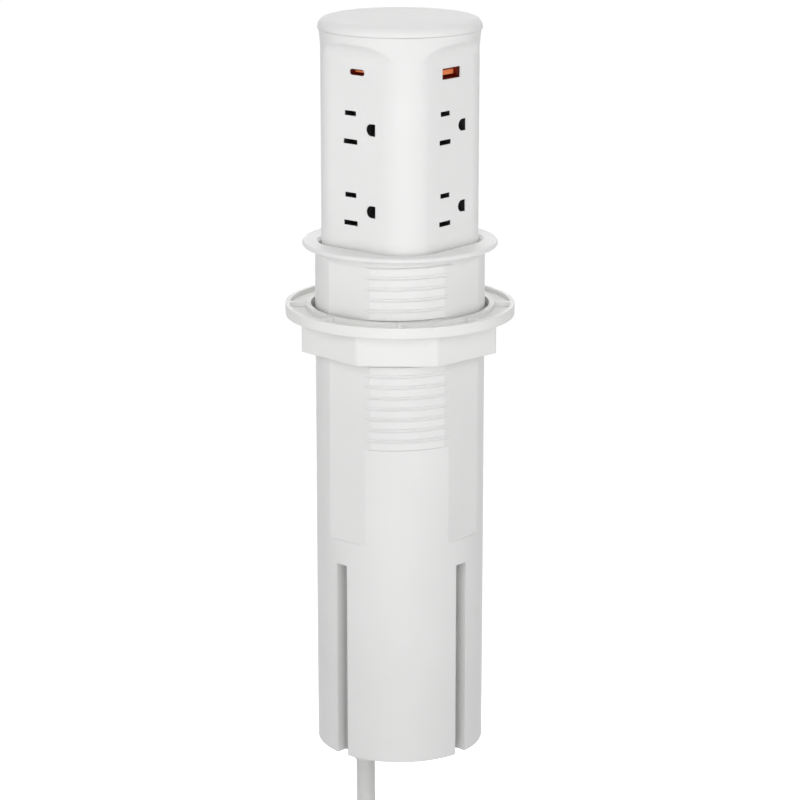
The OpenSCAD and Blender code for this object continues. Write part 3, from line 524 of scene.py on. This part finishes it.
def make_finishes():
    """One finish for each of the record's slots, and for the port shells a steel coloured dark
    red, a painted reflection of the orange tongues.
    """
    return {
        "tower_white": tower_plastic("tower_abs", (0.85, 0.85, 0.845), (0.825, 0.825, 0.82), 0.58),
        "tube_white": tube_plastic("tube_abs", (0.83, 0.83, 0.825), (0.8, 0.8, 0.795), 0.44),
        "clamp_white": moulded_plastic(
            "clamp_nylon", (0.84, 0.84, 0.825), (0.81, 0.81, 0.795), 0.46),
        "dark_plastic": moulded_plastic(
            "dark_abs", (0.014, 0.014, 0.015), (0.02, 0.02, 0.02), 0.5),
        "orange_plastic": moulded_plastic(
            "orange_pbt", (1.0, 0.28, 0.08), (0.92, 0.24, 0.07), 0.45),
        "cord_jacket": make_cord_jacket(),
        "steel": worked_metal(
            "spring_steel", (0.62, 0.62, 0.63), (0.5, 0.5, 0.5), 0.3, (1, 1, 8)),
        "brass": worked_metal(
            "brass_strip", (0.78, 0.56, 0.26), (0.62, 0.42, 0.2), 0.3, (1, 1, 6)),
        # painted reflection: the port shells' steel is coloured dark red for the orange tongues it
        # reflects
        "port_steel_painted_reflection": worked_metal(
            "port_steel_painted_reflection", (0.5, 0.06, 0.03), (0.42, 0.045, 0.025), 0.5, (1, 1, 1)),
        "board_green": make_board(),
        "felt": make_felt(),
        "tie_webbing": make_webbing(),
    }


def paint_frame(finishes):
    """Each CAD node takes the finish of the slot it was packed with."""
    for name, obj in NODES.items():
        slot = obj.material_slots[0].material.name.split(".")[0]
        if name.startswith("usb") and "shell" in name:
            slot = "port_steel_painted_reflection"
        obj.material_slots[0].material = finishes[slot]


def dress(piece, finishes, body, slot, *nodes):
    """A new piece takes a slot's finish, rides on a body and stands for its CAD nodes."""
    piece.data.materials.append(finishes[slot])
    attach(piece, body)
    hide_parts(*nodes)


# Camera and cord

def make_camera():
    data = bpy.data.cameras.new("camera")
    data.lens = CAMERA_LENS
    data.sensor_width = CAMERA_SENSOR
    camera = add_object("camera", data)
    out = Vector((math.sin(CAMERA_AZIMUTH), -math.cos(CAMERA_AZIMUTH), 0))
    camera.location = out * CAMERA_DISTANCE + Vector((0, 0, CAMERA_HEIGHT))
    camera.rotation_euler = (math.pi / 2 - CAMERA_PITCH, 0, CAMERA_AZIMUTH)
    bpy.context.scene.camera = camera


def coil_points():
    """The put-away turns: they spiral in on one layer and out again on the next."""
    points = []
    for i in range(COIL_TURNS * COIL_RINGS + 1):
        turn = i / COIL_RINGS
        past = turn - COIL_TURNS / 2
        share = abs(past)
        if share < COIL_TURN_IN:
            share = past * past / (2 * COIL_TURN_IN) + COIL_TURN_IN / 2
        layer = min(max(0.5 + past / (2 * COIL_TURN_IN), 0), 1)
        r = COIL_INNER + COIL_STEP * share
        a = math.pi + FULL_TURN * turn
        points.append(COIL_MIDDLE + Vector((COIL_STEP * layer, r * math.cos(a), r * math.sin(a))))
    return points


def make_cord():
    """One smooth curve: down from the tube, around the coil and on to the plug."""
    hang, lead = ([Vector(p) for p in part] for part in (CORD_HANG, PLUG_LEAD))
    route = hang + coil_points() + lead
    data = bpy.data.curves.new("mains_cord", "CURVE")
    data.dimensions = "3D"
    data.bevel_depth = CORD_D / 2 * MM
    data.bevel_resolution = 6
    data.resolution_u = 6
    data.use_fill_caps = True
    spline = data.splines.new("BEZIER")
    spline.bezier_points.add(len(route) - 1)
    for point, place in zip(spline.bezier_points, route):
        point.co = place * MM
        point.handle_left_type = "AUTO"
        point.handle_right_type = "AUTO"
    return add_object("mains_cord", data)


# Pieces on the cord

def make_tie():
    """A strap once around all the turns, its end lapped over the outside."""
    inner = COIL_INNER - CORD_D / 2 - TIE_GAP
    outer = COIL_LEFT + CORD_D / 2 + TIE_GAP
    middle = COIL_MIDDLE + Vector((COIL_STEP / 2, (inner + outer) / 2, 0))
    half_x = (COIL_STEP + CORD_D) / 2 + TIE_GAP
    half_y = (outer - inner) / 2
    loop = [Vector(p) for p in rounded_ring(half_x, half_y, TIE_CORNER, 0, middle)]
    count = len(loop)
    lap = count // 3
    foot, head = COIL_MIDDLE.z - TIE_W / 2, COIL_MIDDLE.z + TIE_W / 2
    rings = []
    for i in range(count + lap):
        along = loop[(i + 1) % count] - loop[(i - 1) % count]
        out = Vector((along.y, -along.x, 0)).normalized()
        lift = TIE_T * min(max((i - count + TIE_LAP_RISE) / TIE_LAP_RISE, 0), 1)
        low = loop[i % count] + out * lift
        high = low + out * TIE_T * TIE_SHARE
        section = [(low, foot), (high, foot), (high, head), (low, head)]
        rings.append([(p.x, p.y, z) for p, z in section])
    return loft("tie_strap", rings)


def make_plug():
    """Moulded plug: ribbed cord end, round shoulders, a waisted grip and a flat face."""
    rings = []
    steps = PLUG_RIBS * STEPS_A_RIB
    for i in range(steps + 1):
        s = i / steps
        r = RELIEF_TIP_R + (RELIEF_ROOT_R - RELIEF_TIP_R) * s
        if i % STEPS_A_RIB in (1, 2) and i < steps - 2:
            r -= PLUG_RIB_CUT
        rings.append(rounded_ring(r, r, r - 0.01, PLUG_AT.z - PLUG_RELIEF_H * s, PLUG_AT))
    top = PLUG_AT.z - PLUG_RELIEF_H
    for i in range(1, SHOULDER_STEPS + 1):
        a = math.pi / 2 * i / SHOULDER_STEPS
        x = RELIEF_ROOT_R + (PLUG_HALF_X - RELIEF_ROOT_R) * math.sin(a)
        y = RELIEF_ROOT_R + (PLUG_HALF_Y - RELIEF_ROOT_R) * math.sin(a)
        z = top - SHOULDER_H * (1 - math.cos(a))
        rings.append(rounded_ring(x, y, PLUG_CORNER - 0.02, z, PLUG_AT))
    steps = GRIP_GROOVES * STEPS_A_RIB
    for i in range(steps + 1):
        s = i / steps
        cut = GRIP_CUT if i % STEPS_A_RIB in (2, 3) else 0
        inset = GRIP_WAIST * math.sin(math.pi * s) + cut
        z = top - GRIP_FROM - (GRIP_TO - GRIP_FROM) * s
        rings.append(rounded_ring(
            PLUG_HALF_X - inset, PLUG_HALF_Y - inset, PLUG_CORNER - cut, z, PLUG_AT))
    face = top - PLUG_H
    for inset, above in FACE_EDGE:
        rings.append(rounded_ring(
            PLUG_HALF_X - inset, PLUG_HALF_Y - inset, PLUG_CORNER - inset, face + above, PLUG_AT))
    return loft("moulded_plug", list(reversed(rings)))


def make_gland():
    """Strain relief: a flange each side of the bottom cap, then a ribbed taper over the cord."""
    profile = [
        (GLAND_AXIS_R, GLAND_TOP), (GLAND_FLANGE_R - 0.5, GLAND_TOP),
        (GLAND_FLANGE_R, GLAND_TOP - 0.5), (GLAND_FLANGE_R, GLAND_CAP_TOP),
        (GLAND_NECK_R, GLAND_CAP_TOP), (GLAND_NECK_R, GLAND_CAP_BOTTOM),
        (GLAND_FLANGE_R, GLAND_CAP_BOTTOM), (GLAND_FLANGE_R, GLAND_COLLAR_BOTTOM + 0.6),
        (GLAND_FLANGE_R - 0.6, GLAND_COLLAR_BOTTOM),
    ]
    tip = CORD_EXIT[2]
    pitch = (GLAND_COLLAR_BOTTOM - tip) / GLAND_RIBS
    for i in range(GLAND_RIBS):
        top = GLAND_COLLAR_BOTTOM - pitch * i
        rib_top, rib_bottom = top - pitch * 0.4, top - pitch
        r = GLAND_ROOT_R + (GLAND_TIP_R - GLAND_ROOT_R) * (i + 0.5) / GLAND_RIBS
        neck = max(r - GLAND_RIB_CUT, CORD_D / 2 + GLAND_CLEAR)
        profile += [
            (neck, top - 0.1), (neck, rib_top), (r - 0.25, rib_top - 0.05),
            (r, rib_top - 0.3), (r, rib_bottom + 0.3), (r - 0.25, rib_bottom + 0.02),
        ]
    profile.append((GLAND_AXIS_R, tip))
    return lathe("strain_relief", list(reversed(profile)), CORD_EXIT, GLAND_SEGMENTS)


# Lift

def make_spring(name, r, wire, turns, foot, head, rings_a_turn, sides):
    """A compression spring whose first and last turns close up to about a wire apart."""
    inset = wire / 2 + SPRING_SEAT_GAP
    dead = wire * CLOSED_PITCH
    low, high = foot + inset, head - inset
    open_turns = turns - 2
    count = int(open_turns * rings_a_turn)
    start = [on_circle(r, FULL_TURN * k / rings_a_turn, low + dead * (1 + k / rings_a_turn))
             for k in range(-rings_a_turn, 0)]
    path = [on_circle(r, FULL_TURN * open_turns * i / count,
                      low + dead + (high - low - 2 * dead) * i / count)
            for i in range(count + 1)]
    end = [on_circle(r, FULL_TURN * (open_turns + k / rings_a_turn),
                     high - dead * (1 - k / rings_a_turn))
           for k in range(1, rings_a_turn + 1)]
    return sweep(name, start + path + end, wire, sides)


def make_inner_lead():
    """The lead that winds up inside the tube, upright at both ends."""
    start = math.atan2(CORD_EXIT[1], CORD_EXIT[0])
    r = math.hypot(CORD_EXIT[0], CORD_EXIT[1])
    count = int(LEAD_TURNS * LEAD_RINGS)
    path = []
    for i in range(count + 1):
        s = i / count
        wound = s - math.sin(FULL_TURN * s) / FULL_TURN
        z = LEAD_FOOT + (LEAD_HEAD - LEAD_FOOT) * s
        path.append(on_circle(r, start + FULL_TURN * LEAD_TURNS * wound, z))
    return sweep("wound_lead", path, LEAD_D, LEAD_SIDES)


def make_felt_ring(name, node):
    """A pressed felt ring: soft edges and an uneven face."""
    low, high = (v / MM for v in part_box(node))
    outer = (high.x - low.x) / 2
    inner = outer - FELT_T
    mid = (low.z + high.z) / 2
    half = (high.z - low.z) / 2
    rise = half - FELT_EDGE
    corner = outer - FELT_CORNER, half - FELT_CORNER
    section = [
        (outer - FELT_EDGE, half), corner, (outer, rise), (outer, 0), (outer, -rise),
        (corner[0], -corner[1]), (outer - FELT_EDGE, -half), (inner, -half), (inner, half),
    ]
    rings = []
    for r, z in reversed(section):
        ring = []
        for a in even_turn(FELT_SEGMENTS):
            uneven = noise.noise(on_circle(FELT_FUZZ_SCALE, a, z)) - FELT_FUZZ_MIDDLE
            fuzz = FELT_FUZZ * uneven if r > inner else 0
            ring.append(on_circle(r + fuzz, a, mid + z))
        rings.append(ring)
    return loft(name, rings, closed=True)


# Stage

def make_floor():
    """A floor that the camera and reflections see as white, with painted shade around the object,
    and that can't be seen from below.
    """
    corners = [(-1, -1), (1, -1), (1, 1), (-1, 1)]
    points = [(x * FLOOR_SIDE, y * FLOOR_SIDE, FLOOR_LEVEL) for x, y in corners]
    mesh = bpy.data.meshes.new("floor")
    mesh.from_pydata(points, [], [(0, 1, 2, 3)])
    floor = add_object("floor", mesh)
    material = bpy.data.materials.new("floor_white")
    material.use_nodes = True
    tree = material.node_tree
    tree.nodes.clear()
    diffuse = tree.nodes.new("ShaderNodeBsdfDiffuse")
    diffuse.inputs["Color"].default_value = (FLOOR_GREY, FLOOR_GREY, FLOOR_GREY, 1)
    glow = tree.nodes.new("ShaderNodeEmission")
    both = tree.nodes.new("ShaderNodeAddShader")
    clear = tree.nodes.new("ShaderNodeBsdfTransparent")
    side_seen = tree.nodes.new("ShaderNodeNewGeometry")
    pick = tree.nodes.new("ShaderNodeMixShader")
    out = tree.nodes.new("ShaderNodeOutputMaterial")
    reach = tree.nodes.new("ShaderNodeVectorMath")
    reach.operation = "LENGTH"
    tree.links.new(own_place(tree), reach.inputs[0])
    near, far = (math.hypot(distance, FLOOR_LEVEL) for distance in (NEAR_REACH, FAR_REACH))
    # painted shade: the floor's glow is dimmed near the object, besides the real shadow that its
    # diffuse part receives
    white = ramp(tree, reach.outputs["Value"], near, far, PAINTED_SHADE_GLOW, FAR_GLOW)
    strength = math_node(tree, "MULTIPLY", seen_directly(tree), white)
    tree.links.new(strength, glow.inputs["Strength"])
    tree.links.new(diffuse.outputs["BSDF"], both.inputs[0])
    tree.links.new(glow.outputs["Emission"], both.inputs[1])
    tree.links.new(side_seen.outputs["Backfacing"], pick.inputs["Fac"])
    tree.links.new(both.outputs["Shader"], pick.inputs[1])
    tree.links.new(clear.outputs["BSDF"], pick.inputs[2])
    tree.links.new(pick.outputs["Shader"], out.inputs["Surface"])
    mesh.materials.append(material)


def make_world(ambient):
    """Soft light from all around, which the camera and reflections see as white."""
    world = bpy.data.worlds.new("studio")
    bpy.context.scene.world = world
    world.use_nodes = True
    tree = world.node_tree
    tree.nodes.clear()
    light = tree.nodes.new("ShaderNodeBackground")
    light.inputs["Strength"].default_value = ambient
    white = tree.nodes.new("ShaderNodeBackground")
    pick = tree.nodes.new("ShaderNodeMixShader")
    out = tree.nodes.new("ShaderNodeOutputWorld")
    for node in (light, white):
        node.inputs["Color"].default_value = (1, 1, 1, 1)
    tree.links.new(seen_directly(tree), pick.inputs["Fac"])
    tree.links.new(light.outputs["Background"], pick.inputs[1])
    tree.links.new(white.outputs["Background"], pick.inputs[2])
    tree.links.new(pick.outputs["Shader"], out.inputs["Surface"])


def make_light(name, turn, elevation, distance, size, power):
    """A soft square light that faces the object."""
    data = bpy.data.lights.new(name, "AREA")
    data.shape = "SQUARE"
    data.size = size
    data.energy = power
    light = add_object(name, data)
    around = CAMERA_AZIMUTH + math.radians(turn)
    rise = math.radians(elevation)
    level = Vector((math.sin(around), -math.cos(around), 0))
    out = level * math.cos(rise) + Vector((0, 0, math.sin(rise)))
    light.location = out * distance
    light.rotation_euler = out.to_track_quat("Z", "Y").to_euler()
    light.visible_camera = False


make_camera()
cord = make_cord()
finishes = make_finishes()
paint_frame(finishes)
dress(cord, finishes, "housing", "cord_jacket", "power_cord", "cord_coil", "plug_lead")
tie = make_tie()
dress(tie, finishes, "housing", "tie_webbing", "cord_tie")
plug = make_plug()
dress(plug, finishes, "housing", "cord_jacket", "plug_body")
gland = make_gland()
dress(gland, finishes, "housing", "tube_white", "cord_gland")

for felt_node in ("felt_ring_upper", "felt_ring_lower"):
    felt = make_felt_ring(felt_node + "_pressed", felt_node)
    dress(felt, finishes, "tower", "felt", felt_node)

lift_spring = make_spring(
    "lift_spring_wire", SPRING_R, SPRING_WIRE, SPRING_TURNS, SPRING_FOOT, SPRING_HEAD,
    rings_a_turn=40, sides=12)
dress(lift_spring, finishes, "housing", "steel", "lift_spring")
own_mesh(lift_spring)

inner_lead = make_inner_lead()
dress(inner_lead, finishes, "housing", "cord_jacket", "inner_lead")
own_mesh(inner_lead)

latch_spring = make_spring(
    "latch_spring_wire", LATCH_SPRING_R, LATCH_SPRING_WIRE, LATCH_SPRING_TURNS + 2,
    LATCH_SPRING_FOOT, LATCH_SPRING_HEAD, rings_a_turn=32, sides=10)
dress(latch_spring, finishes, "housing", "steel", "latch_spring")
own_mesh(latch_spring)

make_floor()
make_world(AMBIENT)
for light in LIGHTS:
    make_light(*light)

bpy.context.scene.view_settings.view_transform = "Standard"
